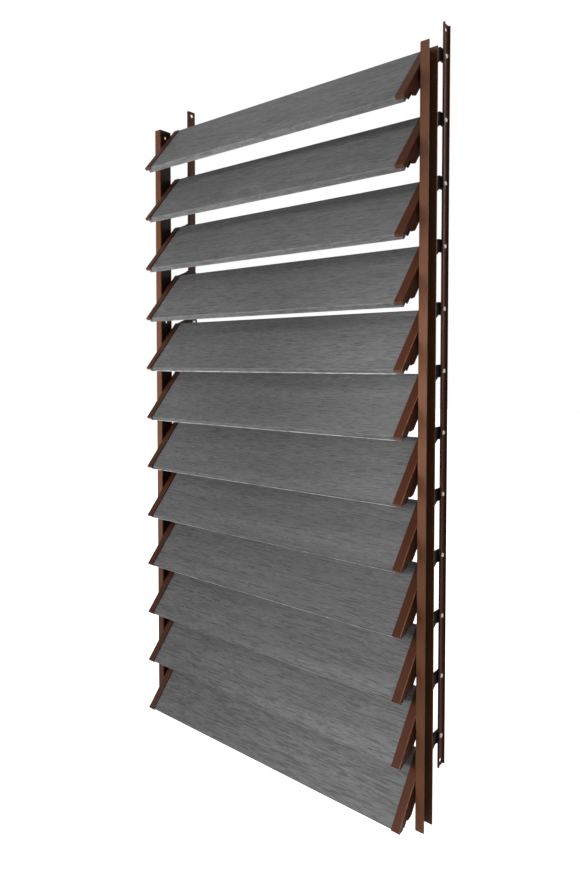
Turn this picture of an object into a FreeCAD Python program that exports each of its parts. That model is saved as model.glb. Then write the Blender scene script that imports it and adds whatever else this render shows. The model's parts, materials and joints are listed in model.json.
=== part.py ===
import FreeCAD, Part
import Sketcher
import os

# Vertical screen of horizontal louvre boards between two channel jambs.
# X runs along the boards, +Y to the back, +Z up; the front is -Y.

doc = FreeCAD.newDocument("LouvreScreen")
sheet = doc.addObject("Spreadsheet::Sheet", "Sheet")

slat_count = 12
fixing_rows = (4, 8)

dimensions = (
    # spacing and rest angle of the louvres
    ("slat_pitch", 103),
    ("rest_tilt", 39.5),
    ("lowest_pivot_height", 62.2),
    ("top_pivot_margin", 44.8),
    # board
    ("board_length", 600),
    ("board_width", 125),
    ("board_thickness", 12),
    ("board_edge_round", 1.5),
    ("board_end_room", 2.4),
    # folded clip
    ("clip_gauge", 1.6),
    ("clip_lip_width", 15),
    ("clip_length", 125),
    ("clip_tab_depth", 6),
    ("clip_leg_depth", 9.2),
    ("clip_leg_foot", 6),
    ("clip_leg_height", 22),
    ("clip_step_depth", 18.2),
    ("clip_step_height", 24),
    ("clip_plate_depth", 24),
    ("clip_corner_height", 32.6),
    ("clip_plate_top", 119),
    ("clip_fold_round", 1.3),
    ("back_lip_start", 36),
    ("back_lip_end", 113),
    ("back_lip_pivot_room", 4),
    ("board_fit", 0.2),
    # crank arm on the clip
    ("crank_angle", 39.5),
    ("crank_half_height", 10),
    ("crank_foot_reach", 12),
    ("crank_crown_reach", 14),
    ("crank_root_height", 106),
    ("link_chord", 162),
    ("link_depth", 38.4),
    # pivot on the jamb
    ("pivot_chord", 73.9),
    ("pivot_depth", 15.5),
    ("pivot_gap", 3),
    ("pivot_shank_radius", 3),
    ("pivot_inner_head_radius", 4.5),
    ("pivot_inner_head_height", 1.8),
    ("pivot_outer_head_radius", 5),
    ("pivot_outer_head_height", 2),
    ("pivot_head_round", 1.2),
    ("bush_radius", 7.5),
    # clearances
    ("running_gap", 0.2),
    ("running_clearance", 0.15),
    ("seat_clearance", 0.05),
    ("cut_overrun", 5),
    # jamb channel
    ("jamb_depth", 30),
    ("jamb_flange", 16),
    ("jamb_wall", 2),
    ("jamb_outer_round", 2.6),
    ("jamb_inner_round", 0.8),
    ("fixing_hole_radius", 2.75),
    ("fixing_end_margin", 15),
    # link bar
    ("link_gap", 1.2),
    ("bar_depth", 20),
    ("bar_flange", 4.4),
    ("bar_wall", 1.5),
    ("bar_outer_round", 1.9),
    ("bar_inner_round", 0.5),
    ("bar_end_margin", 52),
    ("bar_hole_radius", 3.5),
    ("bar_hole_inset", 9),
    # link rivet
    ("link_shank_radius", 2.5),
    ("link_inner_head_radius", 4.5),
    ("link_inner_head_height", 1.5),
    ("link_shoulder_radius", 5),
    ("link_outer_head_radius", 3.6),
    ("link_outer_head_height", 2),
    ("link_head_round", 1.1),
    ("link_dimple_radius", 1.3),
    ("link_dimple_depth", 1),
    # board screw
    ("screw_radius", 1.8),
    ("screw_bite", 9),
    ("screw_head_radius", 4),
    ("screw_head_top_radius", 3.1),
    ("screw_head_height", 2.2),
    ("screw_recess_radius", 1.9),
    ("screw_recess_depth", 1.3),
    ("screw_edge", 6.5),
    ("screw_low", 50.5),
    ("screw_high", 98),
)
for row, (alias, value) in enumerate(dimensions, start=1):
    sheet.set("A%d" % row, alias)
    sheet.set("B%d" % row, str(value))
    sheet.setAlias("B%d" % row, alias)
doc.recompute()

# Derived places, written in the named sizes

tilt = "Sheet.rest_tilt"
angle = "Sheet.crank_angle"
bank_height = "(%d * Sheet.slat_pitch)" % (slat_count - 1)

clip_inner_face = "(Sheet.board_length / 2 + Sheet.board_end_room)"
clip_outer_face = "(%s + Sheet.clip_gauge)" % clip_inner_face
web_face = "(%s + Sheet.pivot_gap)" % clip_outer_face
bar_face = "(%s + Sheet.link_gap)" % clip_outer_face

link_back = "(Sheet.link_chord * sin(%s) + Sheet.link_depth * cos(%s))" % (tilt, tilt)
link_rise = "(Sheet.link_chord * cos(%s) - Sheet.link_depth * sin(%s))" % (tilt, tilt)
pivot_back = "(Sheet.pivot_chord * sin(%s) + Sheet.pivot_depth * cos(%s))" % (tilt, tilt)
pivot_rise = "(Sheet.pivot_chord * cos(%s) - Sheet.pivot_depth * sin(%s))" % (tilt, tilt)

# The front tips and the crank ends are equally far from the middle of the screen.
tip_place = "(-(%s + Sheet.crank_half_height) / 2)" % link_back
pivot_place = "(%s + %s)" % (tip_place, pivot_back)
link_place = "(%s + %s)" % (tip_place, link_back)
lowest_tip_height = "(Sheet.lowest_pivot_height - %s)" % pivot_rise
lowest_link_height = "(%s + %s)" % (lowest_tip_height, link_rise)

jamb_length = "(Sheet.lowest_pivot_height + %s + Sheet.top_pivot_margin)" % bank_height
bar_length = "(%s + 2 * Sheet.bar_end_margin)" % bank_height

board_front = "(Sheet.clip_gauge + Sheet.board_fit)"
board_foot = "(Sheet.clip_gauge + Sheet.board_fit)"
board_head = "(%s + Sheet.board_width)" % board_foot
board_back = "(%s + Sheet.board_thickness)" % board_front
back_lip_front = "(%s + Sheet.board_fit)" % board_back
back_lip_back = "(%s + Sheet.clip_gauge)" % back_lip_front
head_room = "(Sheet.pivot_inner_head_radius + Sheet.back_lip_pivot_room)"
screw_place = "(Sheet.board_length / 2 - Sheet.screw_edge)"

pivot_hole_radius = "(Sheet.pivot_shank_radius + Sheet.running_clearance)"
link_hole_radius = "(Sheet.link_shank_radius + Sheet.running_clearance)"
jamb_seat_radius = "(Sheet.pivot_shank_radius + Sheet.seat_clearance)"
bar_seat_radius = "(Sheet.link_shank_radius + Sheet.seat_clearance)"

across_axis = FreeCAD.Vector(1, 0, 0)
back_across_axis = FreeCAD.Vector(-1, 0, 0)
depth_axis = FreeCAD.Vector(0, 1, 0)
upright_axis = FreeCAD.Vector(0, 0, 1)
half_turn = 180
quarter_turn = 90
same_place = 1e-5


def value_of(formula):
    return float(sheet.evalExpression(formula))


def bind(thing, formulas):
    for name, formula in formulas.items():
        thing.setExpression(name, formula)


def place(thing, x="0", y="0", z="0"):
    bind(thing, {"Placement.Base.x": x, "Placement.Base.y": y, "Placement.Base.z": z})


def turn(thing, axis, degrees):
    thing.Placement = FreeCAD.Placement(FreeCAD.Vector(), FreeCAD.Rotation(axis, degrees))


def origin_feature(body, role):
    return [feature for feature in body.Origin.OriginFeatures if feature.Role == role][0]


def new_sketch(body, name, role, offset="0"):
    sketch = body.newObject("Sketcher::SketchObject", name)
    sketch.AttachmentSupport = [(origin_feature(body, role), "")]
    sketch.MapMode = "FlatFace"
    sketch.setExpression("AttachmentOffset.Base.z", offset)
    return sketch


def pin_point(sketch, geometry, corner, across, along):
    for kind, formula in (("DistanceX", across), ("DistanceY", along)):
        constraint = Sketcher.Constraint(kind, -1, 1, geometry, corner, value_of(formula))
        index = sketch.addConstraint(constraint)
        sketch.setExpression("Constraints[%d]" % index, formula)


def draw_outline(sketch, points):
    corners = [FreeCAD.Vector(value_of(across), value_of(along), 0) for across, along in points]
    count = len(corners)
    for start in range(count):
        sketch.addGeometry(Part.LineSegment(corners[start], corners[(start + 1) % count]), False)
    for start in range(count):
        sketch.addConstraint(Sketcher.Constraint("Coincident", start, 2, (start + 1) % count, 1))
    for start, (across, along) in enumerate(points):
        pin_point(sketch, start, 1, across, along)


def draw_circle(sketch, across, along, radius):
    centre = FreeCAD.Vector(value_of(across), value_of(along), 0)
    number = sketch.addGeometry(Part.Circle(centre, upright_axis, value_of(radius)), False)
    pin_point(sketch, number, 3, across, along)
    index = sketch.addConstraint(Sketcher.Constraint("Radius", number, value_of(radius)))
    sketch.setExpression("Constraints[%d]" % index, radius)


def new_pad(body, name, sketch, length, both_ways=False):
    pad = body.newObject("PartDesign::Pad", name)
    pad.Profile = sketch
    pad.Midplane = both_ways
    pad.setExpression("Length", length)
    doc.recompute()
    return pad


def new_pocket(body, name, sketch, length):
    before = body.Shape.Volume
    pocket = body.newObject("PartDesign::Pocket", name)
    pocket.Profile = sketch
    pocket.Midplane = True
    pocket.setExpression("Length", length)
    doc.recompute()
    if body.Shape.Volume >= before:
        raise RuntimeError("pocket %s cuts nothing" % name)
    return pocket


def new_row(body, name, original, spacing, count):
    pattern = body.newObject("PartDesign::LinearPattern", name)
    pattern.Originals = [original]
    pattern.Direction = (origin_feature(body, "Z_Axis"), [""])
    pattern.Occurrences = count
    pattern.setExpression("Length", spacing)
    body.Tip = pattern
    doc.recompute()
    return pattern


def new_round(body, name, edges, radius):
    base = body.Tip
    rounding = body.newObject("PartDesign::Fillet", name)
    rounding.Base = (base, edges)
    rounding.setExpression("Radius", radius)
    body.Tip = rounding
    doc.recompute()
    return rounding


def edges_along(shape, axis, places):
    found = []
    for number, edge in enumerate(shape.Edges, start=1):
        if edge.Curve.TypeId != "Part::GeomLine":
            continue
        start = edge.Vertexes[0].Point
        end = edge.Vertexes[-1].Point
        if (end - start).normalize().cross(axis).Length > same_place:
            continue
        for spot in places:
            if (start - spot).cross(axis).Length < same_place:
                found.append("Edge%d" % number)
    return found


def rim_edges(shape, distance, radius):
    found = []
    for number, edge in enumerate(shape.Edges, start=1):
        if edge.Curve.TypeId != "Part::GeomCircle":
            continue
        if abs(edge.Curve.Center.x - distance) > same_place or abs(edge.Curve.Radius - radius) > same_place:
            continue
        found.append("Edge%d" % number)
    return found


def copy_of(master, label):
    copy = doc.addObject("Part::Compound", label)
    copy.Label = label
    copy.Links = [master]
    return copy


# Channel of a jamb or a link bar: the web in the YZ plane, two flanges towards +X, standing on the XY plane

def make_channel(name, depth, flange, wall, length, outer_round, inner_round):
    body = doc.addObject("PartDesign::Body", name)
    outline = new_sketch(body, name + "_section", "XY_Plane")
    inside = "(%s - %s)" % (depth, wall)
    draw_outline(outline, (
        ("0", "0"), (flange, "0"), (flange, wall), (wall, wall),
        (wall, inside), (flange, inside), (flange, depth), ("0", depth)))
    new_pad(body, name + "_length", outline, length)
    deep = value_of(depth)
    thick = value_of(wall)
    outer = [FreeCAD.Vector(0, 0, 0), FreeCAD.Vector(0, deep, 0)]
    inner = [FreeCAD.Vector(thick, thick, 0), FreeCAD.Vector(thick, deep - thick, 0)]
    new_round(body, name + "_outer_bend", edges_along(body.Shape, upright_axis, outer), outer_round)
    new_round(body, name + "_inner_bend", edges_along(body.Shape, upright_axis, inner), inner_round)
    return body


def drill_web(body, name, depth, height, radius):
    sketch = new_sketch(body, name + "_circle", "YZ_Plane")
    draw_circle(sketch, "(%s / 2)" % depth, height, radius)
    return new_pocket(body, name, sketch, "(2 * Sheet.jamb_flange + Sheet.cut_overrun)")


def make_jamb(label):
    body = make_channel(label, "Sheet.jamb_depth", "Sheet.jamb_flange", "Sheet.jamb_wall", jamb_length,
                        "Sheet.jamb_outer_round", "Sheet.jamb_inner_round")
    first = drill_web(body, label + "_pivot_hole", "Sheet.jamb_depth", "Sheet.lowest_pivot_height",
                      jamb_seat_radius)
    new_row(body, label + "_pivot_holes", first, bank_height, slat_count)
    heights = ["Sheet.fixing_end_margin", "(%s - Sheet.fixing_end_margin)" % jamb_length]
    for place_in_bank in fixing_rows:
        heights.append("(Sheet.lowest_pivot_height + (%d - 1 / 2) * Sheet.slat_pitch)" % place_in_bank)
    sketch = new_sketch(body, label + "_fixing_circles", "YZ_Plane")
    for height in heights:
        draw_circle(sketch, "(Sheet.jamb_depth / 2)", height, "Sheet.fixing_hole_radius")
    new_pocket(body, label + "_fixing_holes", sketch, "(2 * Sheet.jamb_flange + Sheet.cut_overrun)")
    return body


def make_link_bar(label):
    body = make_channel(label, "Sheet.bar_depth", "Sheet.bar_flange", "Sheet.bar_wall", bar_length,
                        "Sheet.bar_outer_round", "Sheet.bar_inner_round")
    first = drill_web(body, label + "_rivet_hole", "Sheet.bar_depth", "Sheet.bar_end_margin", bar_seat_radius)
    new_row(body, label + "_rivet_holes", first, bank_height, slat_count)
    sketch = new_sketch(body, label + "_end_circles", "YZ_Plane")
    for height in ("Sheet.bar_hole_inset", "(%s - Sheet.bar_hole_inset)" % bar_length):
        draw_circle(sketch, "(Sheet.bar_depth / 2)", height, "Sheet.bar_hole_radius")
    new_pocket(body, label + "_end_holes", sketch, "(2 * Sheet.jamb_flange + Sheet.cut_overrun)")
    return body


# Clip folded from one sheet: front lip, foot tab, end plate with its crank arm, two back lips.
# In the clip's own frame Y runs from the lip's front to the back and Z runs up along the board.

def make_clip_body(name, side):
    body = doc.addObject("PartDesign::Body", name)
    if side > 0:
        lip_start = "(%s - Sheet.clip_lip_width)" % clip_outer_face
        plate_start = clip_inner_face
    else:
        lip_start = "(-%s)" % clip_outer_face
        plate_start = "(-%s)" % clip_outer_face

    front = new_sketch(body, name + "_front_outline", "YZ_Plane", lip_start)
    draw_outline(front, (
        ("0", "0"), ("Sheet.clip_tab_depth", "0"), ("Sheet.clip_tab_depth", "Sheet.clip_gauge"),
        ("Sheet.clip_gauge", "Sheet.clip_gauge"), ("Sheet.clip_gauge", "Sheet.clip_length"),
        ("0", "Sheet.clip_length")))
    new_pad(body, name + "_front_lip", front, "Sheet.clip_lip_width")

    plate = new_sketch(body, name + "_plate_outline", "YZ_Plane", plate_start)
    draw_outline(plate, (
        ("0", "0"), ("Sheet.clip_leg_depth", "Sheet.clip_leg_foot"),
        ("Sheet.clip_leg_depth", "Sheet.clip_leg_height"), ("Sheet.clip_step_depth", "Sheet.clip_step_height"),
        ("Sheet.clip_plate_depth", "Sheet.clip_corner_height"), ("Sheet.clip_plate_depth", "Sheet.clip_plate_top"),
        ("Sheet.clip_gauge", "Sheet.clip_length"), ("0", "Sheet.clip_length")))
    new_pad(body, name + "_end_plate", plate, "Sheet.clip_gauge")

    # the back lips leave room for the head of the pivot rivet between them
    lips = (
        ("low", "Sheet.back_lip_start", "(Sheet.pivot_chord - %s)" % head_room),
        ("high", "(Sheet.pivot_chord + %s)" % head_room, "Sheet.back_lip_end"))
    for word, low, high in lips:
        back = new_sketch(body, "%s_%s_back_outline" % (name, word), "YZ_Plane", lip_start)
        draw_outline(back, (
            (back_lip_front, low), (back_lip_back, low), (back_lip_back, high), (back_lip_front, high)))
        new_pad(body, "%s_%s_back_lip" % (name, word), back, "Sheet.clip_lip_width")

    rise = "Sheet.crank_half_height * cos(%s)" % angle
    run = "Sheet.crank_half_height * sin(%s)" % angle
    crown = ("(Sheet.link_depth - %s)" % run, "(Sheet.link_chord + %s)" % rise)
    foot = ("(Sheet.link_depth + %s)" % run, "(Sheet.link_chord - %s)" % rise)

    def towards_board(point, reach):
        return ("(%s - %s * cos(%s))" % (point[0], reach, angle), "(%s - %s * sin(%s))" % (point[1], reach, angle))

    arm = new_sketch(body, name + "_arm_outline", "YZ_Plane", plate_start)
    draw_outline(arm, (
        crown, foot, towards_board(foot, "Sheet.crank_foot_reach"),
        ("Sheet.clip_plate_depth", "Sheet.crank_root_height"),
        ("Sheet.clip_gauge", "(Sheet.clip_length - Sheet.clip_gauge)"),
        towards_board(crown, "Sheet.crank_crown_reach")))
    new_pad(body, name + "_arm", arm, "Sheet.clip_gauge")

    end = new_sketch(body, name + "_arm_end_circle", "YZ_Plane", plate_start)
    draw_circle(end, "Sheet.link_depth", "Sheet.link_chord", "Sheet.crank_half_height")
    new_pad(body, name + "_arm_end", end, "Sheet.clip_gauge")

    holes = new_sketch(body, name + "_pin_circles", "YZ_Plane", plate_start)
    draw_circle(holes, "Sheet.pivot_depth", "Sheet.pivot_chord", pivot_hole_radius)
    draw_circle(holes, "Sheet.link_depth", "Sheet.link_chord", link_hole_radius)
    new_pocket(body, name + "_pin_holes", holes, "(2 * Sheet.clip_gauge + Sheet.cut_overrun)")

    fold = FreeCAD.Vector(side * value_of(clip_outer_face), 0, 0)
    new_round(body, name + "_fold", edges_along(body.Shape, upright_axis, [fold]), "Sheet.clip_fold_round")
    return body


# Screws and their holes, in the same frame as the clip

def make_pin(name, radius, length, x, y, z):
    pin = doc.addObject("Part::Cylinder", name)
    turn(pin, across_axis, quarter_turn)
    bind(pin, {"Radius": radius, "Height": length})
    place(pin, x, y, z)
    return pin


def screw_places(side):
    x = screw_place if side > 0 else "(-%s)" % screw_place
    return [(x, "Sheet.screw_low"), (x, "Sheet.screw_high")]


def make_screw(name, x, z):
    shank = make_pin(name + "_shank", "Sheet.screw_radius",
                     "(Sheet.clip_gauge + Sheet.board_fit + Sheet.screw_bite)", x, back_lip_back, z)
    head = doc.addObject("Part::Cone", name + "_head")
    turn(head, across_axis, quarter_turn)
    bind(head, {"Radius1": "Sheet.screw_head_top_radius", "Radius2": "Sheet.screw_head_radius",
                "Height": "Sheet.screw_head_height"})
    place(head, x, "(%s + Sheet.screw_head_height)" % back_lip_back, z)
    whole = doc.addObject("Part::Fuse", name + "_blank")
    whole.Base = head
    whole.Tool = shank
    recess = doc.addObject("Part::Prism", name + "_recess")
    recess.Polygon = 6
    turn(recess, across_axis, quarter_turn)
    bind(recess, {"Circumradius": "Sheet.screw_recess_radius",
                  "Height": "(Sheet.screw_recess_depth + Sheet.cut_overrun)"})
    place(recess, x, "(%s + Sheet.screw_head_height + Sheet.cut_overrun)" % back_lip_back, z)
    screw = doc.addObject("Part::Cut", name)
    screw.Base = whole
    screw.Tool = recess
    return screw


def join(name, things):
    fusion = doc.addObject("Part::MultiFuse", name)
    fusion.Shapes = things
    return fusion


def cut(name, base, tool):
    rest = doc.addObject("Part::Cut", name)
    rest.Base = base
    rest.Tool = tool
    return rest


def make_clip(name, side):
    blank = make_clip_body(name + "_blank", side)
    pins = []
    for number, (x, z) in enumerate(screw_places(side)):
        pins.append(make_pin("%s_screw_hole_%d" % (name, number),
                             "(Sheet.screw_radius + Sheet.board_fit)",
                             "(Sheet.clip_gauge + 2 * Sheet.seat_clearance)",
                             x, "(%s + Sheet.seat_clearance)" % back_lip_back, z))
    return cut(name, blank, join(name + "_screw_holes", pins))


def make_board(name):
    body = doc.addObject("PartDesign::Body", name + "_blank")
    section = new_sketch(body, name + "_section", "YZ_Plane")
    outline = (
        (board_front, board_foot), (board_back, board_foot), (board_back, board_head), (board_front, board_head))
    draw_outline(section, outline)
    new_pad(body, name + "_length", section, "Sheet.board_length", True)
    corners = [FreeCAD.Vector(0, value_of(y), value_of(z)) for y, z in outline]
    new_round(body, name + "_edges", edges_along(body.Shape, across_axis, corners), "Sheet.board_edge_round")
    pins = []
    for side in (1, -1):
        for x, z in screw_places(side):
            pins.append(make_pin("%s_pilot_%d" % (name, len(pins)),
                                 "(Sheet.screw_radius + Sheet.seat_clearance)",
                                 "(Sheet.screw_bite + Sheet.seat_clearance + Sheet.cut_overrun)",
                                 x, "(%s + Sheet.cut_overrun)" % board_back, z))
    return cut(name, body, join(name + "_pilots", pins))


# Rivets turned about X, starting at the inner head

def make_pivot_rivet(name):
    body = doc.addObject("PartDesign::Body", name)
    shoulder = "Sheet.pivot_inner_head_height"
    grip = "(%s + Sheet.running_gap + Sheet.clip_gauge + Sheet.pivot_gap + Sheet.jamb_wall)" % shoulder
    end = "(%s + Sheet.pivot_outer_head_height)" % grip
    profile = new_sketch(body, name + "_profile", "XY_Plane")
    draw_outline(profile, (
        ("0", "0"), ("0", "Sheet.pivot_inner_head_radius"), (shoulder, "Sheet.pivot_inner_head_radius"),
        (shoulder, "Sheet.pivot_shank_radius"), (grip, "Sheet.pivot_shank_radius"),
        (grip, "Sheet.pivot_outer_head_radius"), (end, "Sheet.pivot_outer_head_radius"), (end, "0")))
    spin(body, name + "_turned", profile)
    rims = rim_edges(body.Shape, value_of(end), value_of("Sheet.pivot_outer_head_radius"))
    new_round(body, name + "_dome", rims, "Sheet.pivot_head_round")
    return body


def make_link_rivet(name):
    body = doc.addObject("PartDesign::Body", name)
    inner = "Sheet.link_inner_head_height"
    washer = "(%s + 2 * Sheet.running_gap + Sheet.clip_gauge)" % inner
    web = "(%s + Sheet.running_gap + Sheet.clip_gauge + Sheet.link_gap)" % inner
    grip = "(%s + Sheet.bar_wall)" % web
    end = "(%s + Sheet.link_outer_head_height)" % grip
    floor = "(%s - Sheet.link_dimple_depth)" % end
    profile = new_sketch(body, name + "_profile", "XY_Plane")
    draw_outline(profile, (
        ("0", "0"), ("0", "Sheet.link_inner_head_radius"), (inner, "Sheet.link_inner_head_radius"),
        (inner, "Sheet.link_shank_radius"), (washer, "Sheet.link_shank_radius"),
        (washer, "Sheet.link_shoulder_radius"), (web, "Sheet.link_shoulder_radius"),
        (web, "Sheet.link_shank_radius"), (grip, "Sheet.link_shank_radius"),
        (grip, "Sheet.link_outer_head_radius"), (end, "Sheet.link_outer_head_radius"),
        (end, "Sheet.link_dimple_radius"), (floor, "Sheet.link_dimple_radius"), (floor, "0")))
    spin(body, name + "_turned", profile)
    rims = rim_edges(body.Shape, value_of(end), value_of("Sheet.link_outer_head_radius"))
    new_round(body, name + "_dome", rims, "Sheet.link_head_round")
    return body


def spin(body, name, profile):
    revolution = body.newObject("PartDesign::Revolution", name)
    revolution.Profile = profile
    revolution.ReferenceAxis = (profile, ["H_Axis"])
    revolution.Angle = 2 * half_turn
    doc.recompute()
    return revolution


def make_bush(name):
    ring = doc.addObject("Part::Cylinder", name + "_outside")
    bore = doc.addObject("Part::Cylinder", name + "_bore")
    length = "(Sheet.pivot_gap - Sheet.running_gap)"
    bind(ring, {"Radius": "Sheet.bush_radius", "Height": length})
    bind(bore, {"Radius": jamb_seat_radius, "Height": "(%s + 2 * Sheet.cut_overrun)" % length})
    for round_bar in (ring, bore):
        turn(round_bar, depth_axis, quarter_turn)
    place(bore, "(-Sheet.cut_overrun)")
    return cut(name, ring, bore)


# Louvres

right_clip = make_clip("right_clip_master", 1)
left_clip = make_clip("left_clip_master", -1)
board = make_board("board_master")
screws = []
for side in (1, -1):
    for x, z in screw_places(side):
        screws.append(make_screw("screw_master_%d" % len(screws), x, z))

nodes = []
for number in range(1, slat_count + 1):
    height = "(%s + %d * Sheet.slat_pitch)" % (lowest_tip_height, slat_count - number)
    pieces = (
        (copy_of(board, "slat_board_%02d" % number)),
        (copy_of(left_clip, "left_clip_%02d" % number)),
        (copy_of(right_clip, "right_clip_%02d" % number)),
        (copy_of(screws[0], "clip_screws_%02d" % number)),
    )
    pieces[3].Links = screws
    for piece in pieces:
        turn(piece, back_across_axis, value_of(tilt))
        place(piece, "0", tip_place, height)
        piece.setExpression("Placement.Rotation.Angle", tilt)
        nodes.append(piece)

# Jambs, link bars and the rows of rivets and bushes on them

pivot_rivet = make_pivot_rivet("pivot_rivet_master")
link_rivet = make_link_rivet("link_rivet_master")
bush = make_bush("bush_master")
rivet_inset = "(%s - Sheet.running_gap - Sheet.pivot_inner_head_height)" % clip_inner_face
bush_inset = "(%s + Sheet.running_gap)" % clip_outer_face
link_inset = "(%s - Sheet.running_gap - Sheet.link_inner_head_height)" % clip_inner_face


def make_row(label, master, side, x, y, lowest):
    copies = []
    for level in range(slat_count):
        copy = copy_of(master, "%s_%02d" % (label, level + 1))
        if side < 0:
            turn(copy, upright_axis, half_turn)
        place(copy, x if side > 0 else "(-%s)" % x, y, "(%s + %d * Sheet.slat_pitch)" % (lowest, level))
        copies.append(copy)
    group = doc.addObject("Part::Compound", label)
    group.Label = label
    group.Links = copies
    nodes.append(group)


for side, word in ((1, "right"), (-1, "left")):
    jamb = make_jamb(word + "_jamb")
    bar = make_link_bar(word + "_link_bar")
    for channel, face, middle, depth, foot in (
            (jamb, web_face, pivot_place, "Sheet.jamb_depth", "0"),
            (bar, bar_face, link_place, "Sheet.bar_depth", "(%s - Sheet.bar_end_margin)" % lowest_link_height)):
        if side > 0:
            place(channel, face, "(%s - %s / 2)" % (middle, depth), foot)
        else:
            turn(channel, upright_axis, half_turn)
            place(channel, "(-%s)" % face, "(%s + %s / 2)" % (middle, depth), foot)
        nodes.append(channel)
    make_row(word + "_pivot_rivets", pivot_rivet, side, rivet_inset, pivot_place, "Sheet.lowest_pivot_height")
    make_row(word + "_pivot_bushes", bush, side, bush_inset, pivot_place, "Sheet.lowest_pivot_height")
    make_row(word + "_link_rivets", link_rivet, side, link_inset, link_place, lowest_link_height)

doc.recompute()

for thing in doc.Objects:
    if "Invalid" in thing.State or "Error" in thing.State:
        raise RuntimeError("%s failed: %s" % (thing.Label, thing.State))
for node in nodes:
    if node.Shape.isNull() or not node.Shape.isValid():
        raise RuntimeError("%s has no valid shape" % node.Label)

os.makedirs("parts", exist_ok=True)
for node in nodes:
    node.Shape.exportStep(os.path.join("parts", node.Label + ".step"))
    box = node.Shape.BoundBox
    print("%-20s solids %2d  volume %10.1f  x %.1f %.1f  y %.1f %.1f  z %.1f %.1f" % (
        node.Label, len(node.Shape.Solids), node.Shape.Volume, box.XMin, box.XMax, box.YMin, box.YMax,
        box.ZMin, box.ZMax))
print("pivot of the lowest louvre", value_of(pivot_place), value_of("Sheet.lowest_pivot_height"))
print("link of the lowest louvre", value_of(link_place), value_of(lowest_link_height))
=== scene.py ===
import bmesh
import bpy
import json
import math
from mathutils import Matrix, Vector


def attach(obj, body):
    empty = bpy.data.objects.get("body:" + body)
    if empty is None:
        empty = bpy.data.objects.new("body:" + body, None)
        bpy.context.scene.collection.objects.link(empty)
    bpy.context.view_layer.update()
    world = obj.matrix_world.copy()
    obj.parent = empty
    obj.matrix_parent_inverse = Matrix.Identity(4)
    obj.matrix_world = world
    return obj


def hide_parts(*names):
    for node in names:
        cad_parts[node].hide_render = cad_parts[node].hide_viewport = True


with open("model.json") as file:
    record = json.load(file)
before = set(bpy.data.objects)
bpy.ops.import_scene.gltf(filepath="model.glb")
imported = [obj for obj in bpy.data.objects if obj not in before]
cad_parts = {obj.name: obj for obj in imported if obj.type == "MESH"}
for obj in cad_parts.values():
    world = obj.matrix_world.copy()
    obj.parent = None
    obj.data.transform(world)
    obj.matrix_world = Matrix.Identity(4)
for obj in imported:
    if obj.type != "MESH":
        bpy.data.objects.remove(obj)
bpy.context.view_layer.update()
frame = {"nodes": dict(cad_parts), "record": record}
scene = bpy.context.scene
scene.view_settings.view_transform = "Standard"  # keeps the white ground white
bodyOf = {node: body for body, nodes in frame["record"]["behaviour"]["bodies"].items() for node in nodes}
louvreCount = 12
louvrePitch = 0.103  # metres from one louvre to the next
louvreTilt = math.radians(39.5)  # boards lean back by this much at rest
faceOut = Vector((0, -math.cos(louvreTilt), math.sin(louvreTilt)))  # out of a board's front
faceDown = Vector((0, -math.sin(louvreTilt), -math.cos(louvreTilt)))  # out of its foot
print("frame loaded:", len(frame["nodes"]), "nodes")


# camera, at the photograph's angle

cameraSetup = {
    "place": (0.8204, -0.9650, 0.7488),
    "turn": 39.445,  # degrees left of straight ahead
    "dip": 2.02,  # degrees below level
    "focalPixels": 672.25,
    "picture": (580, 870),
    "opticalRow": 385.5,
}


def addCamera(setup):
    data = bpy.data.cameras.new("photoCamera")
    tall = setup["picture"][1]
    data.sensor_width = 36
    data.lens = setup["focalPixels"] * data.sensor_width / tall
    data.shift_y = (setup["opticalRow"] - tall / 2) / tall
    camera = bpy.data.objects.new("photoCamera", data)
    camera.location = setup["place"]
    camera.rotation_euler = (math.radians(90 - setup["dip"]), 0, math.radians(setup["turn"]))
    scene.collection.objects.link(camera)
    scene.camera = camera


addCamera(cameraSetup)
print("camera set")


# studio: white ground, soft lights

studio = {
    "floorHeight": -0.015,  # the link bars dip to almost -13 mm when the louvres lie open
    "floorSize": 9.0,
    "floorWhite": (0.86, 0.86, 0.86, 1),
    "floorRough": 0.9,
    "floorGlow": 1.0,
    "skyWhite": 1.0,
    "skyFill": 0.40,
    "lights": {
        "keySoftbox": {
            "place": (-1.2, -1.5, 0.75), "aim": (0, 0, 0.68),
            "size": (0.6, 0.5), "spread": 180, "power": 11},
        "lowSoftbox": {
            "place": (-1.3, -1.1, 0.15), "aim": (0, 0, 0.8),
            "size": (0.6, 0.3), "spread": 120, "power": 1.3},
        "underSoftbox": {
            "place": (-0.6, -1.2, 0.1), "aim": (-0.2, 0, 1.1),
            "size": (0.5, 0.3), "spread": 60, "power": 2.8},
        "footSpot": {
            "place": (0.28, -1.5, 0.8), "aim": (0.3, 0, 0.03),
            "size": (0.3, 0.3), "spread": 45, "power": 1.16},
        "jambSpot": {
            "place": (0.26, -1.3, 0.72), "aim": (0.33, 0, 0.72),
            "size": (0.2, 0.3), "spread": 30, "power": 0.46},
        "topSpot": {
            "place": (0.1, -1.5, 1.6), "aim": (0.1, 0, 1.25),
            "size": (0.5, 0.4), "spread": 50, "power": 1.0},
        "foldStrip": {
            "place": (1.3, -0.3, 2.0), "aim": (0.3, 0, 0.5),
            "size": (0.15, 1.2), "spread": 120, "power": 0.8},
        "backSoftbox": {
            "place": (0.5, 2.3, 1.5), "aim": (0, 0, 0.62),
            "size": (1.6, 1.6), "spread": 180, "power": 24},
    },
}


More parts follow.
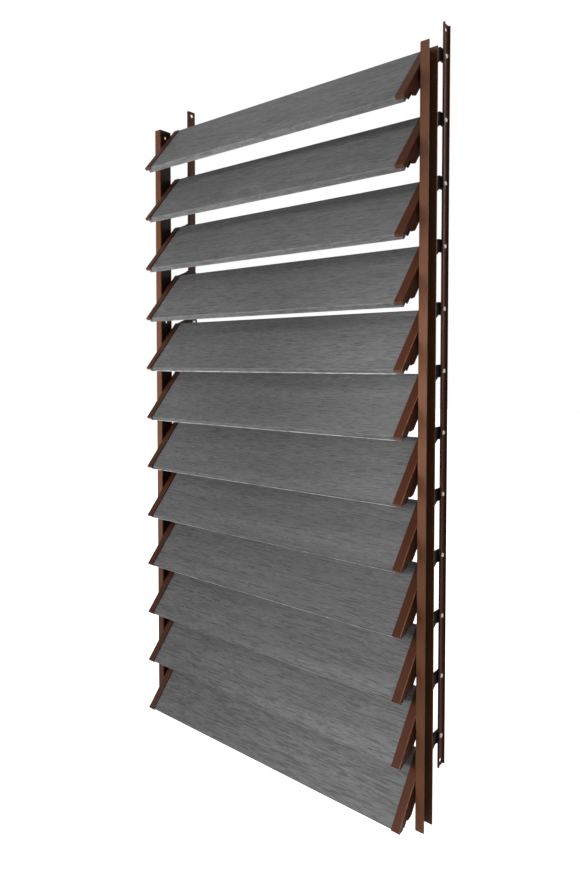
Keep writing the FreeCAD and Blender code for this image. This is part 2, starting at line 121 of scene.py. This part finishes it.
def addWorld(setup):
    world = bpy.data.worlds.new("whiteStudio")
    scene.world = world
    world.use_nodes = True
    nodes = world.node_tree.nodes
    links = world.node_tree.links
    nodes.clear()
    seen = nodes.new("ShaderNodeBackground")
    seen.inputs["Strength"].default_value = setup["skyWhite"]
    seen.inputs["Color"].default_value = (1, 1, 1, 1)
    fill = nodes.new("ShaderNodeBackground")
    fill.inputs["Strength"].default_value = setup["skyFill"]
    fill.inputs["Color"].default_value = (1, 1, 1, 1)
    path = nodes.new("ShaderNodeLightPath")
    mix = nodes.new("ShaderNodeMixShader")
    out = nodes.new("ShaderNodeOutputWorld")
    links.new(path.outputs["Is Camera Ray"], mix.inputs[0])
    links.new(fill.outputs[0], mix.inputs[1])
    links.new(seen.outputs[0], mix.inputs[2])
    links.new(mix.outputs[0], out.inputs["Surface"])


def addFloor(setup):
    shape = bmesh.new()
    bmesh.ops.create_grid(shape, x_segments=1, y_segments=1, size=setup["floorSize"])
    bmesh.ops.translate(shape, verts=shape.verts, vec=(0, 0, setup["floorHeight"]))
    mesh = bpy.data.meshes.new("studioFloor")
    shape.to_mesh(mesh)
    shape.free()
    floor = bpy.data.objects.new("studioFloor", mesh)
    scene.collection.objects.link(floor)
    paper = bpy.data.materials.new("whitePaper")
    paper.use_nodes = True
    nodes = paper.node_tree.nodes
    links = paper.node_tree.links
    coat = nodes["Principled BSDF"]
    coat.inputs["Base Color"].default_value = setup["floorWhite"]
    coat.inputs["Roughness"].default_value = setup["floorRough"]
    coat.inputs["Emission Color"].default_value = (1, 1, 1, 1)
    path = nodes.new("ShaderNodeLightPath")
    glow = nodes.new("ShaderNodeMath")
    glow.operation = "MULTIPLY"
    glow.inputs[1].default_value = setup["floorGlow"]
    links.new(path.outputs["Is Camera Ray"], glow.inputs[0])
    links.new(glow.outputs[0], coat.inputs["Emission Strength"])
    mesh.materials.append(paper)


def addLight(name, light):
    data = bpy.data.lights.new(name, "AREA")
    data.shape = "RECTANGLE"
    data.size, data.size_y = light["size"]
    data.energy = light["power"]
    data.spread = math.radians(light["spread"])
    lamp = bpy.data.objects.new(name, data)
    lamp.location = light["place"]
    towards = Vector(light["aim"]) - Vector(light["place"])
    lamp.rotation_euler = towards.to_track_quat("-Z", "Y").to_euler()
    scene.collection.objects.link(lamp)


addWorld(studio)
addFloor(studio)
for lightName, light in studio["lights"].items():
    addLight(lightName, light)
print("studio lit")


# shader helpers and effects shared by the finishes

def startMaterial(name):
    material = bpy.data.materials.new(name)
    material.use_nodes = True
    nodes = material.node_tree.nodes
    return material, nodes, material.node_tree.links, nodes["Principled BSDF"]


def startGroup(name, inputs, outputs):
    group = bpy.data.node_groups.new(name, "ShaderNodeTree")
    for label, kind, value in inputs:
        socket = group.interface.new_socket(label, in_out="INPUT", socket_type=kind)
        if value is not None:
            socket.default_value = value
    for label, kind in outputs:
        group.interface.new_socket(label, in_out="OUTPUT", socket_type=kind)
    nodes = group.nodes
    return group, nodes, group.links, nodes.new("NodeGroupInput"), nodes.new("NodeGroupOutput")


def addMath(nodes, links, operation, first, second):
    node = nodes.new("ShaderNodeMath")
    node.operation = operation
    for socket, value in zip(node.inputs, (first, second)):
        if isinstance(value, (int, float)):
            socket.default_value = value
        else:
            links.new(value, socket)
    return node.outputs[0]


def addRange(nodes, links, value, low, high, toLow, toHigh):
    node = nodes.new("ShaderNodeMapRange")
    node.interpolation_type = "SMOOTHSTEP"
    links.new(value, node.inputs["Value"])
    for label, setting in (("From Min", low), ("From Max", high), ("To Min", toLow), ("To Max", toHigh)):
        if isinstance(setting, (int, float)):
            node.inputs[label].default_value = setting
        else:
            links.new(setting, node.inputs[label])
    return node.outputs[0]


def addNoise(nodes, links, vector, scale, detail, roughness=0.55):
    node = nodes.new("ShaderNodeTexNoise")
    node.inputs["Scale"].default_value = scale
    node.inputs["Detail"].default_value = detail
    node.inputs["Roughness"].default_value = roughness
    links.new(vector, node.inputs["Vector"])
    return node.outputs[0]


def addMix(nodes, links, amount, first, second):
    node = nodes.new("ShaderNodeMix")
    node.data_type = "RGBA"
    for label, value in ((0, amount), (6, first), (7, second)):
        if isinstance(value, (int, float, tuple)):
            node.inputs[label].default_value = value
        else:
            links.new(value, node.inputs[label])
    return node.outputs[2]


def makePeel():
    # fine orange-peel skin and slow cloudiness, for coat, metal and nylon
    group, nodes, links, given, made = startGroup(
        "peelAndCloud",
        (("Vector", "NodeSocketVector", None), ("Peel Size", "NodeSocketFloat", 900.0),
         ("Cloud Size", "NodeSocketFloat", 9.0)),
        (("Peel", "NodeSocketFloat"), ("Cloud", "NodeSocketFloat")))
    peel = nodes.new("ShaderNodeTexNoise")
    peel.inputs["Detail"].default_value = 2
    links.new(given.outputs["Vector"], peel.inputs["Vector"])
    links.new(given.outputs["Peel Size"], peel.inputs["Scale"])
    links.new(peel.outputs[0], made.inputs["Peel"])
    cloud = nodes.new("ShaderNodeTexNoise")
    cloud.inputs["Detail"].default_value = 5
    links.new(given.outputs["Vector"], cloud.inputs["Vector"])
    links.new(given.outputs["Cloud Size"], cloud.inputs["Scale"])
    links.new(cloud.outputs[0], made.inputs["Cloud"])
    return group


rimBreaks = {"edge": (0.3, 0.65), "share": (0.35, 1.0)}  # where a rim fades, and how far


def makeRim(breaking):
    # edges, marked on the mesh, for edge wear and painted highlight, broken up so that they come and go
    # along the edges
    group, nodes, links, given, made = startGroup(
        "wearAndHighlightRim",
        (("Vector", "NodeSocketVector", None), ("Break Size", "NodeSocketFloat", 120.0),
         ("Amount", "NodeSocketFloat", 0.6)),
        (("Mask", "NodeSocketFloat"),))
    rim = nodes.new("ShaderNodeAttribute")
    rim.attribute_name = "rim"
    breaks = nodes.new("ShaderNodeTexNoise")
    breaks.inputs["Detail"].default_value = 3
    links.new(given.outputs["Vector"], breaks.inputs["Vector"])
    links.new(given.outputs["Break Size"], breaks.inputs["Scale"])
    patchy = addRange(nodes, links, breaks.outputs[0], *breaking["edge"], *breaking["share"])
    held = addMath(nodes, links, "MULTIPLY", rim.outputs["Fac"], patchy)
    links.new(addMath(nodes, links, "MULTIPLY", held, given.outputs["Amount"]), made.inputs["Mask"])
    return group


peelGroup = makePeel()
rimGroup = makeRim(rimBreaks)


def placeGroup(nodes, links, group, vector, values):
    node = nodes.new("ShaderNodeGroup")
    node.node_tree = group
    links.new(vector, node.inputs["Vector"])
    for label, value in values.items():
        node.inputs[label].default_value = value
    return node


def objectPlace(nodes):
    return nodes.new("ShaderNodeTexCoord").outputs["Object"]


def addBump(nodes, links, coat, height, strength, distance):
    bump = nodes.new("ShaderNodeBump")
    bump.inputs["Strength"].default_value = strength
    bump.inputs["Distance"].default_value = distance
    links.new(height, bump.inputs["Height"])
    links.new(bump.outputs[0], coat.inputs["Normal"])


def addRoughness(nodes, links, coat, pattern, roughness):
    middling = (0.3, 0.7)  # noise seldom goes past these
    links.new(addRange(nodes, links, pattern, *middling, *roughness), coat.inputs["Roughness"])


# grey board: embossed wood grain, matt

boardLook = {
    "slot": "grey_board",
    "grey": (0.128, 0.128, 0.128, 1),
    "streakAndShadeGrey": (0.056, 0.056, 0.057, 1),
    "paleGrey": (0.158, 0.158, 0.157, 1),
    # painted highlight: on the drip edge, and faintly on the other edges
    "paintedHighlightGrey": (0.86, 0.86, 0.85, 1),
    "rimShare": 0.06,  # of the painted highlight's paleness, on edges other than the drip edge
    "dripWidth": 0.0031,  # metres of the foot that get a painted highlight, next to the back
    "dripEnd": 0.2885,  # metres from the middle to the clips, which cover the rest
    "footShade": 0.35,  # painted shade: the foot is darker than the face
    "wander": (0.009, 0.0035),  # metres that a streak strays sideways, slowly and quickly
    "wanderScales": ((4.5, 20, 20), (17, 30, 42)),  # along, through and up the board
    "streak": {"scale": (27, 90, 480), "roughness": 0.7, "edge": (0.5, 0.62), "share": 0.8},
    "fibre": {"scale": (75, 200, 950), "roughness": 0.7, "edge": (0.35, 0.75), "share": 0.78},
    "band": {"scale": (2.6, 25, 42), "roughness": 0.5, "edge": (0.35, 0.7)},
    "grainDetail": 3,
    "rim": {"Break Size": 60.0, "Amount": 1.0},
    "roughness": (0.52, 0.68),
    "fibreRelief": 0.6,  # of a streak's depth
    "relief": (0.6, 0.00045),  # strength, depth in metres
    "edgeRound": 0.0003,
}


def makeBoardMaterial(look):
    material, nodes, links, coat = startMaterial("greyGrain")
    place = nodes.new("ShaderNodeMapping")
    place.inputs["Rotation"].default_value = (louvreTilt, 0, 0)  # Z runs up the board
    links.new(objectPlace(nodes), place.inputs["Vector"])
    split = nodes.new("ShaderNodeSeparateXYZ")
    links.new(place.outputs[0], split.inputs[0])
    strayed = split.outputs["Z"]
    for scale, reach in zip(look["wanderScales"], look["wander"]):
        drift = nodes.new("ShaderNodeMapping")
        drift.inputs["Scale"].default_value = scale
        links.new(place.outputs[0], drift.inputs["Vector"])
        noise = addNoise(nodes, links, drift.outputs[0], 1.0, 2)
        shift = addMath(nodes, links, "MULTIPLY", noise, reach)
        strayed = addMath(nodes, links, "ADD", strayed, shift)
    warped = nodes.new("ShaderNodeCombineXYZ")
    links.new(split.outputs["X"], warped.inputs["X"])
    links.new(split.outputs["Y"], warped.inputs["Y"])
    links.new(strayed, warped.inputs["Z"])

    def stretched(grain):
        mapping = nodes.new("ShaderNodeMapping")
        mapping.inputs["Scale"].default_value = grain["scale"]
        links.new(warped.outputs[0], mapping.inputs["Vector"])
        return addNoise(nodes, links, mapping.outputs[0], 1.0, look["grainDetail"], grain["roughness"])

    streak = addRange(nodes, links, stretched(look["streak"]), *look["streak"]["edge"], 0.0, 1.0)
    fibre = stretched(look["fibre"])
    band = addRange(nodes, links, stretched(look["band"]), *look["band"]["edge"], 0.0, 1.0)
    tone = addMix(nodes, links, band, look["grey"], look["paleGrey"])
    fine = addRange(nodes, links, fibre, *look["fibre"]["edge"], 0.0, look["fibre"]["share"])
    tone = addMix(nodes, links, fine, tone, look["streakAndShadeGrey"])
    dark = addMath(nodes, links, "MULTIPLY", streak, look["streak"]["share"])
    tone = addMix(nodes, links, dark, tone, look["streakAndShadeGrey"])
    # painted shade on the board's foot, in the grain's streak grey
    foot = nodes.new("ShaderNodeAttribute")
    foot.attribute_name = "foot"
    tone = addMix(nodes, links, foot.outputs["Fac"], tone, look["streakAndShadeGrey"])
    # painted highlight on the drip edge, faint on the other edges
    rim = placeGroup(nodes, links, rimGroup, objectPlace(nodes), look["rim"])
    tone = addMix(nodes, links, rim.outputs["Mask"], tone, look["paintedHighlightGrey"])
    links.new(tone, coat.inputs["Base Color"])
    addRoughness(nodes, links, coat, fibre, look["roughness"])
    pores = addMath(nodes, links, "MULTIPLY", streak, -1.0)
    ridges = addMath(nodes, links, "MULTIPLY", fibre, look["fibreRelief"])
    height = addMath(nodes, links, "ADD", pores, ridges)
    addBump(nodes, links, coat, height, *look["relief"])
    return material


# brown powder coat on clips, jambs and link bars

clipLook = {
    "slot": "brown_powder_coat",
    "finish": "brownClipCoat",
    "brown": (0.074, 0.0248, 0.0122, 1),
    "deepBrown": (0.062, 0.0198, 0.0096, 1),
    # edge wear and painted highlight on edges and folds, painted light on the foot tab
    "wearAndHighlightBrown": (0.34, 0.165, 0.095, 1),
    "metalShare": 0.15,  # flakes of bronze in the coat
    "roughness": (0.36, 0.46),
    "gloss": 0.14,
    "skin": {"Peel Size": 1100.0, "Cloud Size": 14.0},
    "rim": {"Break Size": 140.0, "Amount": 0.8},
    "peel": (0.35, 0.00004),  # strength, depth in metres
    "edgeRound": 0.0003,
}
jambLook = {
    "slot": "brown_powder_coat",
    "finish": "brownJambCoat",
    # painted light: the same powder coat as on the clips, made lighter on the jambs
    "brown": (0.108, 0.0432, 0.0205, 1),
    "deepBrown": (0.094, 0.0362, 0.0168, 1),
    # edge wear and painted highlight on the edges
    "wearAndHighlightBrown": (0.22, 0.105, 0.065, 1),
    "webBrown": (0.006, 0.003, 0.0022, 1),
    "webShade": {"inside": 0.85, "channel": 0.4},  # painted shade: the web is darker than the flanges
    "webReach": 0.3095,  # metres from the middle to just past the web
    "metalShare": 0.15,
    "roughness": (0.38, 0.48),
    "gloss": 0.14,
    "skin": {"Peel Size": 1100.0, "Cloud Size": 14.0},
    "rim": {"Break Size": 140.0, "Amount": 0.8},
    "peel": (0.35, 0.00004),  # strength, depth in metres
    "edgeRound": 0.0003,
}


def makeCoatMaterial(look):
    material, nodes, links, coat = startMaterial(look["finish"])
    place = objectPlace(nodes)
    skin = placeGroup(nodes, links, peelGroup, place, look["skin"])
    rim = placeGroup(nodes, links, rimGroup, place, look["rim"])
    tone = addMix(nodes, links, skin.outputs["Cloud"], look["deepBrown"], look["brown"])
    # edge wear and painted highlight along edges and folds
    tone = addMix(nodes, links, rim.outputs["Mask"], tone, look["wearAndHighlightBrown"])
    # painted shade on the jamb webs
    if "webBrown" in look:
        web = nodes.new("ShaderNodeAttribute")
        web.attribute_name = "web"
        tone = addMix(nodes, links, web.outputs["Fac"], tone, look["webBrown"])
    links.new(tone, coat.inputs["Base Color"])
    coat.inputs["Metallic"].default_value = look["metalShare"]
    coat.inputs["Specular IOR Level"].default_value = look["gloss"]
    addRoughness(nodes, links, coat, skin.outputs["Cloud"], look["roughness"])
    addBump(nodes, links, coat, skin.outputs["Peel"], *look["peel"])
    return material


# bright aluminium rivets

rivetLook = {
    "slot": "bright_rivet",
    "bright": (0.95, 0.94, 0.93, 1),
    "dull": (0.92, 0.91, 0.89, 1),
    "metalShare": 0.1,  # a milky, tumbled finish
    "roughness": (0.3, 0.42),
    "skin": {"Peel Size": 1500.0, "Cloud Size": 220.0},
    "peel": (0.2, 0.00003),
    "edgeRound": 0.00025,
    "domeRound": 0.0016,  # the set heads are domed
}


def makeRivetMaterial(look):
    material, nodes, links, coat = startMaterial("brightAluminium")
    place = objectPlace(nodes)
    skin = placeGroup(nodes, links, peelGroup, place, look["skin"])
    tone = addMix(nodes, links, skin.outputs["Cloud"], look["dull"], look["bright"])
    links.new(tone, coat.inputs["Base Color"])
    coat.inputs["Metallic"].default_value = look["metalShare"]
    addRoughness(nodes, links, coat, skin.outputs["Cloud"], look["roughness"])
    addBump(nodes, links, coat, skin.outputs["Peel"], *look["peel"])
    return material


# black nylon bushes, sleeves and packers

nylonLook = {
    "slot": "black_nylon",
    "black": (0.0045, 0.0042, 0.0042, 1),
    "grazed": (0.016, 0.015, 0.015, 1),
    "roughness": (0.42, 0.58),
    "gloss": 0.2,
    "skin": {"Peel Size": 1800.0, "Cloud Size": 90.0},
    "rim": {"Break Size": 300.0, "Amount": 0.7},
    "peel": (0.3, 0.00004),
    "edgeRound": 0.0003,
}


def makeNylonMaterial(look):
    material, nodes, links, coat = startMaterial("blackNylon")
    place = objectPlace(nodes)
    skin = placeGroup(nodes, links, peelGroup, place, look["skin"])
    rim = placeGroup(nodes, links, rimGroup, place, look["rim"])
    tone = addMix(nodes, links, rim.outputs["Mask"], look["black"], look["grazed"])
    links.new(tone, coat.inputs["Base Color"])
    coat.inputs["Specular IOR Level"].default_value = look["gloss"]
    addRoughness(nodes, links, coat, skin.outputs["Cloud"], look["roughness"])
    addBump(nodes, links, coat, skin.outputs["Peel"], *look["peel"])
    return material


# zinc-plated screws that hold the boards in the clips

screwLook = {
    "slot": "plated_screw",
    "zinc": (0.56, 0.55, 0.53, 1),
    "yellowed": (0.47, 0.44, 0.37, 1),
    "metalShare": 1.0,
    "roughness": (0.28, 0.42),
    "skin": {"Peel Size": 2200.0, "Cloud Size": 160.0},
    "peel": (0.2, 0.00003),
    "edgeRound": 0.0002,
}


def makeScrewMaterial(look):
    material, nodes, links, coat = startMaterial("platedZinc")
    place = objectPlace(nodes)
    skin = placeGroup(nodes, links, peelGroup, place, look["skin"])
    tone = addMix(nodes, links, skin.outputs["Cloud"], look["yellowed"], look["zinc"])
    links.new(tone, coat.inputs["Base Color"])
    coat.inputs["Metallic"].default_value = look["metalShare"]
    addRoughness(nodes, links, coat, skin.outputs["Cloud"], look["roughness"])
    addBump(nodes, links, coat, skin.outputs["Peel"], *look["peel"])
    return material


boardGrain = makeBoardMaterial(boardLook)
clipCoat = makeCoatMaterial(clipLook)
jambCoat = makeCoatMaterial(jambLook)
rivetMetal = makeRivetMaterial(rivetLook)
nylon = makeNylonMaterial(nylonLook)
screwZinc = makeScrewMaterial(screwLook)
print("finishes mixed")


# pieces: each node's welded copy with its crisp edges rounded

dressing = {
    "weld": 0.000004,  # metres between corners that are one corner
    "flatAngle": math.radians(0.8),
    "domeSteps": 5,
    "crispAngle": math.radians(32),
    "edgeSteps": 2,
    "edgeHighlight": ((9, 1.0), (5, 0.8), (1, 0.25)),  # from this louvre down: how strong the painted highlight is on folds, foot tabs and drip edges
    "tabPaintedLight": 0.5,  # painted light on the foot tab's underside, as a share of the fold's highlight
    "headEnd": 0.00002,  # metres that a rivet's end face may be uneven
    "tabEnd": 0.0004,  # the same for a clip's foot tab
    "facing": 0.9,  # cosines: a face looks this way
    "turned": 0.25,  # a fold turns this way
    "sideways": 0.97,  # an end plate, not a fold
    "footFacing": 0.5,  # a board's foot
    "dripFacing": 0.1,  # a foot with its rounded edge
}


# strength of the painted highlight for a louvre, by its number
def highlightFor(nodeName):
    number = int(nodeName[-2:])
    return next(edgeHighlight for first, edgeHighlight in dressing["edgeHighlight"] if number >= first)


def domeHeads(shape, domeRound):
    # rounds the outer end of every rivet head
    outer = max(abs(vert.co.x) for vert in shape.verts) - dressing["headEnd"]
    ends = [edge for edge in shape.edges
            if all(abs(vert.co.x) > outer for vert in edge.verts)
            and edge.is_manifold and edge.calc_face_angle() > dressing["crispAngle"]]
    bmesh.ops.bevel(
        shape, geom=ends, offset=domeRound, offset_type="OFFSET", affect="EDGES",
        segments=dressing["domeSteps"], profile=0.5, material=-1, clamp_overlap=True)


def paintFoldHighlights(shape, rim, edgeHighlight):
    # painted highlight along the folds, and painted light on the underside of the foot tab
    foot = max(vert.co.dot(faceDown) for vert in shape.verts) - dressing["tabEnd"]
    turned = dressing["turned"]
    for face in shape.faces:
        outward = face.normal.dot(faceOut)
        downward = face.normal.dot(faceDown)
        if downward > dressing["facing"] and face.calc_center_median().dot(faceDown) > foot:
            face[rim] = dressing["tabPaintedLight"] * edgeHighlight
        sideFold = outward > turned and turned < abs(face.normal.x) < dressing["sideways"]
        footFold = outward > turned and downward > turned
        if sideFold or footFold:
            face[rim] = edgeHighlight


def paintFootShadeAndHighlight(shape, rim, look, edgeHighlight):
    # painted shade on the board's foot, and a painted highlight along its drip edge
    foot = shape.faces.layers.float.new("foot")
    dripStart = max(-vert.co.dot(faceOut) for vert in shape.verts) - look["dripWidth"]
    dripEnd = Vector((look["dripEnd"], 0, 0))
    for place, across in ((-dripStart * faceOut, faceOut), (dripEnd, dripEnd), (-dripEnd, dripEnd)):
        bmesh.ops.bisect_plane(
            shape, geom=shape.verts[:] + shape.edges[:] + shape.faces[:], plane_co=place,
            plane_no=across.normalized())
    shape.normal_update()
    for face in shape.faces:
        middle = face.calc_center_median()
        downward = face.normal.dot(faceDown)
        if downward > dressing["footFacing"]:
            face[foot] = look["footShade"]
        onDrip = -middle.dot(faceOut) > dripStart and abs(middle.x) < dripEnd.x
        if onDrip and downward > dressing["dripFacing"]:
            face[rim] = edgeHighlight ** 2


def paintWebShade(shape, look):
    # painted shade: darkens the web faces of a channel, more on the inside face than in the channel
    web = shape.faces.layers.float.new("web")
    for face in shape.faces:
        across = face.calc_center_median().x
        if abs(face.normal.x) > dressing["facing"] and abs(across) < look["webReach"]:
            face[web] = look["webShade"]["inside" if face.normal.x * across < 0 else "channel"]


def roundEdges(shape, rim, look):
    crisp = [edge for edge in shape.edges
             if edge.is_manifold and edge.calc_face_angle() > dressing["crispAngle"]]
    rounded = bmesh.ops.bevel(
        shape, geom=crisp, offset=look["edgeRound"], offset_type="OFFSET", affect="EDGES",
        segments=dressing["edgeSteps"], profile=0.5, material=-1, clamp_overlap=True)
    for face in rounded["faces"]:
        face[rim] = look.get("rimShare", 1.0)


def makePiece(shape, name, material):
    for face in shape.faces:
        face.smooth = True
    mesh = bpy.data.meshes.new(name)
    shape.to_mesh(mesh)
    shape.free()
    mesh.materials.append(material)
    piece = bpy.data.objects.new(name, mesh)
    scene.collection.objects.link(piece)
    piece.modifiers.new("evenNormals", "WEIGHTED_NORMAL")
    return piece


def dressNode(nodeName, look, material):
    shape = bmesh.new()
    shape.from_mesh(frame["nodes"][nodeName].data)
    rim = shape.faces.layers.float.new("rim")
    bmesh.ops.remove_doubles(shape, verts=shape.verts, dist=dressing["weld"])
    bmesh.ops.dissolve_limit(
        shape, angle_limit=dressing["flatAngle"], verts=shape.verts, edges=shape.edges)
    if "domeRound" in look:
        domeHeads(shape, look["domeRound"])
    if "_clip_" in nodeName:
        paintFoldHighlights(shape, rim, highlightFor(nodeName))
    roundEdges(shape, rim, look)
    if "footShade" in look:
        paintFootShadeAndHighlight(shape, rim, look, highlightFor(nodeName))
    if "webShade" in look:
        paintWebShade(shape, look)
    piece = makePiece(shape, nodeName + "_dressed", material)
    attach(piece, bodyOf[nodeName])
    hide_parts(nodeName)


families = (
    ("slat_board_", boardLook, boardGrain),
    ("left_clip_", clipLook, clipCoat),
    ("right_clip_", clipLook, clipCoat),
    ("left_jamb", jambLook, jambCoat),
    ("right_jamb", jambLook, jambCoat),
    ("left_link_bar", clipLook, clipCoat),
    ("right_link_bar", clipLook, clipCoat),
    ("left_pivot_rivets", rivetLook, rivetMetal),
    ("right_pivot_rivets", rivetLook, rivetMetal),
    ("left_link_rivets", rivetLook, rivetMetal),
    ("right_link_rivets", rivetLook, rivetMetal),
    ("left_pivot_bushes", nylonLook, nylon),
    ("right_pivot_bushes", nylonLook, nylon),
    ("clip_screws_", screwLook, screwZinc),
)
for start, look, material in families:
    members = sorted(node for node in frame["nodes"] if node.startswith(start))
    for node in members:
        dressNode(node, look, material)
    print("dressed", len(members), start.strip("_"))


# black sleeves on the ends of the crank arms, between arm and link bar

sleeveLook = {
    "slot": "black_nylon",
    "linkBack": 0.061338,  # the link rivets' axes
    "lowestLink": 0.115614,  # height of the lowest of them
    "inside": 0.3015,
    "outside": 0.3049,
    "halfHeight": 0.0106,
    "front": 0.0376,
    "back": 0.0712,  # ends with the arm
    "hole": 0.0056,
    "segments": 40,
    "halfway": 0.000001,  # metres; corners ahead of the axis by more are pulled forward
    "weld": 0.00001,
    "edgeRound": 0.0004,
}


def addSleeve(look, side, sign, number):
    height = look["lowestLink"] + (louvreCount - number) * louvrePitch
    middle = Vector((look["inside"], look["linkBack"], height))
    shape = bmesh.new()
    outline = bmesh.ops.create_circle(shape, segments=look["segments"], radius=look["halfHeight"])
    stretch = look["linkBack"] - look["front"] - look["halfHeight"]
    ahead = [vert for vert in outline["verts"] if vert.co.y < -look["halfway"]]
    bmesh.ops.translate(shape, verts=ahead, vec=(0, -stretch, 0))
    bmesh.ops.create_circle(shape, segments=look["segments"], radius=look["hole"])
    bmesh.ops.bridge_loops(shape, edges=shape.edges[:])
    for vert in shape.verts:
        vert.co = middle + Vector((0, vert.co.y, vert.co.x))
    walls = bmesh.ops.extrude_face_region(shape, geom=shape.faces[:])
    pulled = [item for item in walls["geom"] if isinstance(item, bmesh.types.BMVert)]
    bmesh.ops.translate(shape, verts=pulled, vec=(look["outside"] - look["inside"], 0, 0))
    cut = bmesh.ops.bisect_plane(
        shape, geom=shape.verts[:] + shape.edges[:] + shape.faces[:], plane_co=(0, look["back"], 0),
        plane_no=(0, 1, 0), clear_outer=True)
    opened = [item for item in cut["geom_cut"] if isinstance(item, bmesh.types.BMEdge)]
    bmesh.ops.holes_fill(shape, edges=opened)
    if sign < 0:
        bmesh.ops.scale(shape, vec=(-1, 1, 1), verts=shape.verts)
    bmesh.ops.remove_doubles(shape, verts=shape.verts, dist=look["weld"])
    bmesh.ops.recalc_face_normals(shape, faces=shape.faces)
    rim = shape.faces.layers.float.new("rim")
    roundEdges(shape, rim, look)
    sleeve = makePiece(shape, "%s_arm_sleeve_%02d" % (side, number), nylon)
    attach(sleeve, "louvre_%02d" % number)


for side, sign in (("left", -1), ("right", 1)):
    for number in range(1, louvreCount + 1):
        addSleeve(sleeveLook, side, sign, number)
print("sleeves on the crank arms")


# black blocks between board end and clip: painted shade, darkening the notch at each clip's foot

notchShadeLook = {
    "slot": "black_nylon",
    "tipBack": -0.071338,  # the tips of the front lips
    "lowestTip": 0.015036,  # height of the lowest of them
    "inside": 0.29995,  # on the board's end
    "outside": 0.30242,  # on the clip's end plate
    "depth": (0.0025, 0.0165),  # from the lip's front towards the back
    "chord": (0.0118, 0.0265),  # up the slope from the lip's tip
    "edgeRound": 0.0005,
}


def addNotchShade(look, side, sign, number):
    low = Vector((look["inside"], look["depth"][0], look["chord"][0]))
    high = Vector((look["outside"], look["depth"][1], look["chord"][1]))
    middle = (low + high) / 2
    middle.x *= sign
    shape = bmesh.new()
    bmesh.ops.create_cube(shape, size=1)
    bmesh.ops.scale(shape, vec=high - low, verts=shape.verts)
    bmesh.ops.translate(shape, vec=middle, verts=shape.verts)
    lean = Matrix.Rotation(-louvreTilt, 3, "X")
    bmesh.ops.rotate(shape, cent=(0, 0, 0), matrix=lean, verts=shape.verts)
    height = look["lowestTip"] + (louvreCount - number) * louvrePitch
    bmesh.ops.translate(shape, vec=(0, look["tipBack"], height), verts=shape.verts)
    rim = shape.faces.layers.float.new("rim")
    roundEdges(shape, rim, look)
    notchShade = makePiece(shape, "%s_foot_notch_shade_%02d" % (side, number), nylon)
    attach(notchShade, "louvre_%02d" % number)


for side, sign in (("left", -1), ("right", 1)):
    for number in range(1, louvreCount + 1):
        addNotchShade(notchShadeLook, side, sign, number)
print("packers at the clips' feet")
